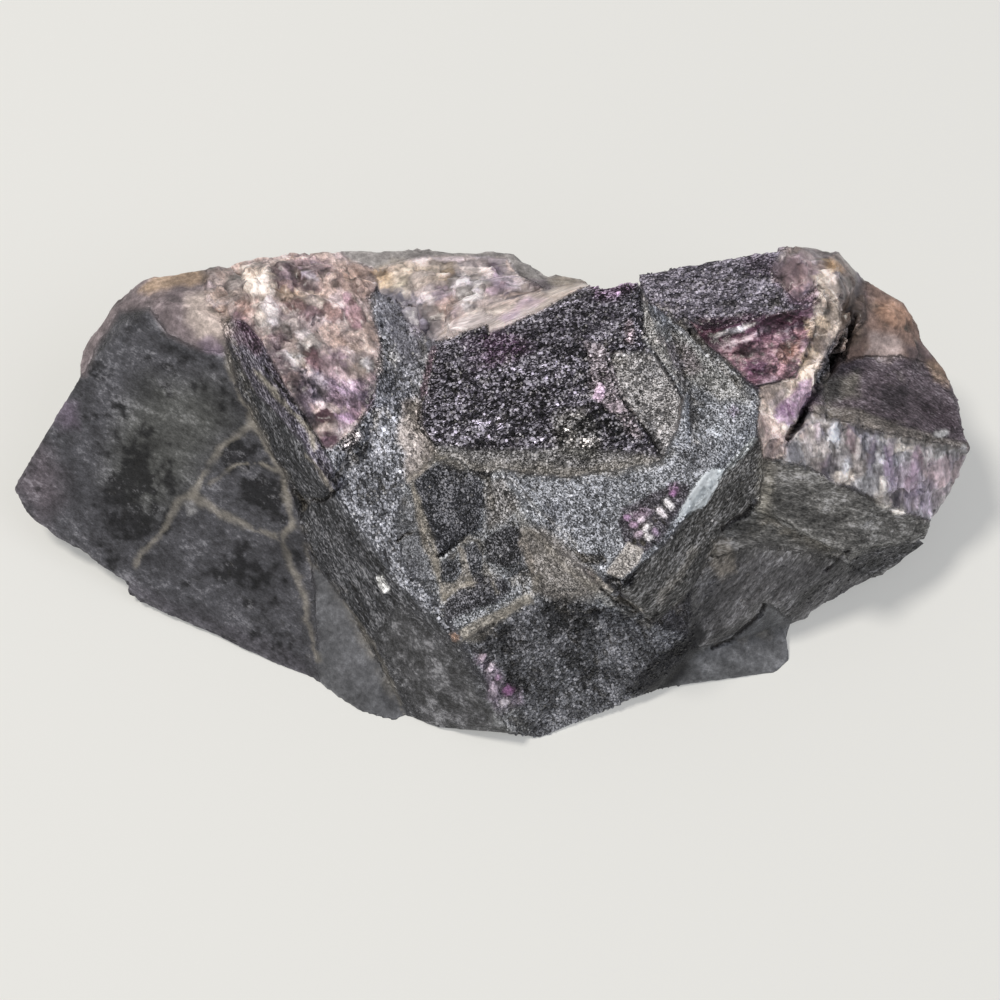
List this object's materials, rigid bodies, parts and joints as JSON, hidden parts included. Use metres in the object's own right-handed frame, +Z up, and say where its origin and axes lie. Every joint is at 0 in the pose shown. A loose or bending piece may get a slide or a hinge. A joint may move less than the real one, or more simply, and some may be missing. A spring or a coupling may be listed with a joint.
{
  "type": "fluorite cluster",
  "caption": "Natural mineral specimen: frosted dark purple and grey cubes grown through one another on broken pale rock, resting on a flat base.",
  "frame": {"origin": "middle of the flat base, at the height of the surface it rests on", "axes": "+X along the longest side of the cluster, +Z up, and the crystal side faces -Y and up"},
  "size_m": [0.1544, 0.0786, 0.059],
  "materials": {
    "stone": "frosted natural crystal"
  },
  "bodies": {
    "root": {"fluorite_cluster": "stone"}
  },
  "joints": []
}
